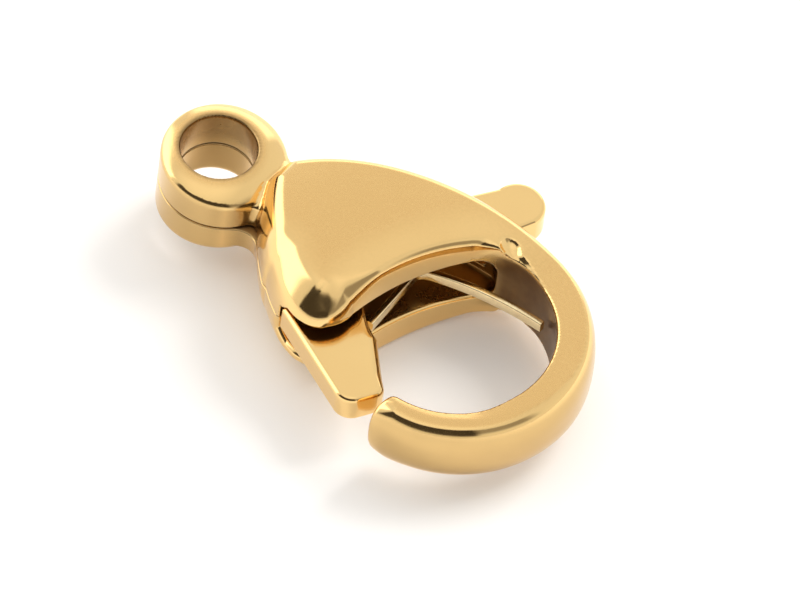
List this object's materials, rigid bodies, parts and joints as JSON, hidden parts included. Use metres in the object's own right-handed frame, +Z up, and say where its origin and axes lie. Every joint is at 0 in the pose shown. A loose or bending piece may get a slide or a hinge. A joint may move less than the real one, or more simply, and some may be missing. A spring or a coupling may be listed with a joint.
{
  "type": "lobster clasp",
  "caption": "Lobster clasp: two domed shells with a hooked nose and a ring at the back, closed by a sprung lever with a gate and a thumb tab.",
  "frame": {"origin": "centre of the ring's hole, halfway through the ring's thickness", "axes": "+X from the ring towards the hook's nose, +Y towards the thumb tab, +Z up out of the upper shell. The clasp is drawn as it lies on a flat surface, so its flat plane is tipped 1.8 degrees about +Y, nose down."},
  "size_m": [0.0119, 0.0079, 0.0032],
  "materials": {
    "gold_plate": "polished gold plating, satin on the hook's flat band",
    "bare_steel": "turned, uncoated",
    "spring_steel": "rolled strip with a thin gold wash"
  },
  "bodies": {
    "body": {"body": "gold_plate", "pivot_pin": "bare_steel", "spring": "spring_steel"},
    "lever": {"lever": "gold_plate"}
  },
  "joints": [
    {"name": "lever_pivot", "type": "hinge", "parent": "body", "child": "lever", "pos_m": [0.0034, 0.0004, -0.00011], "axis": [0.0314, 0, 0.9995], "range_deg": [0, 25], "stiffness_Nm_per_rad": 0.01, "deforming": ["spring"]}
  ]
}
